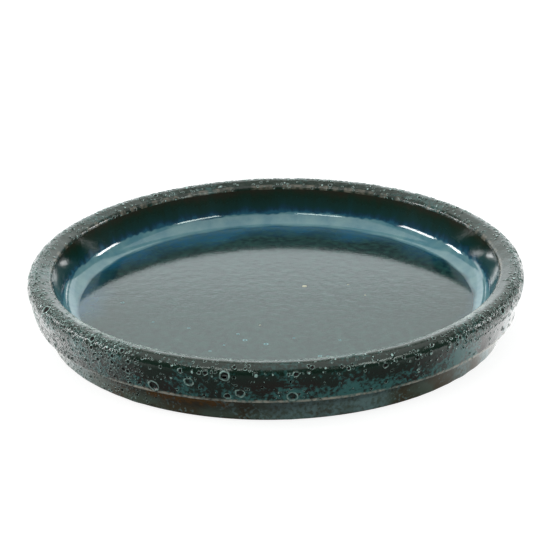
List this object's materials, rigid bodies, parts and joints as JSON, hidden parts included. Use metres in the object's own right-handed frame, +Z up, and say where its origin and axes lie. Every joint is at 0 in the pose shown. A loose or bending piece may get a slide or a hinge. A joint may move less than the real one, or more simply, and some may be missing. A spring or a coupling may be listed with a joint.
{
  "type": "plant saucer",
  "caption": "Round glazed stoneware saucer with a thick raised rim, made to stand under a plant pot and catch the water that drains from it.",
  "frame": {"origin": "middle of the foot ring, on the ground", "axes": "+Z up along the axis the saucer was turned about; the saucer is round, so +X and +Y have no face of their own"},
  "size_m": [0.26, 0.26, 0.0345],
  "materials": {
    "bare_clay": "fired and unglazed",
    "liner_glaze": "smooth gloss, dark green to blue",
    "crater_glaze": "reactive gloss, full of burst bubbles",
    "base_glaze": "thin gloss, olive grey",
    "pooled_glaze": "thick milky gloss"
  },
  "bodies": {
    "root": {"clay_body": "bare_clay", "liner_glaze": "liner_glaze", "crater_glaze": "crater_glaze", "base_glaze": "base_glaze", "pooled_glaze_ring": "pooled_glaze"}
  },
  "joints": []
}
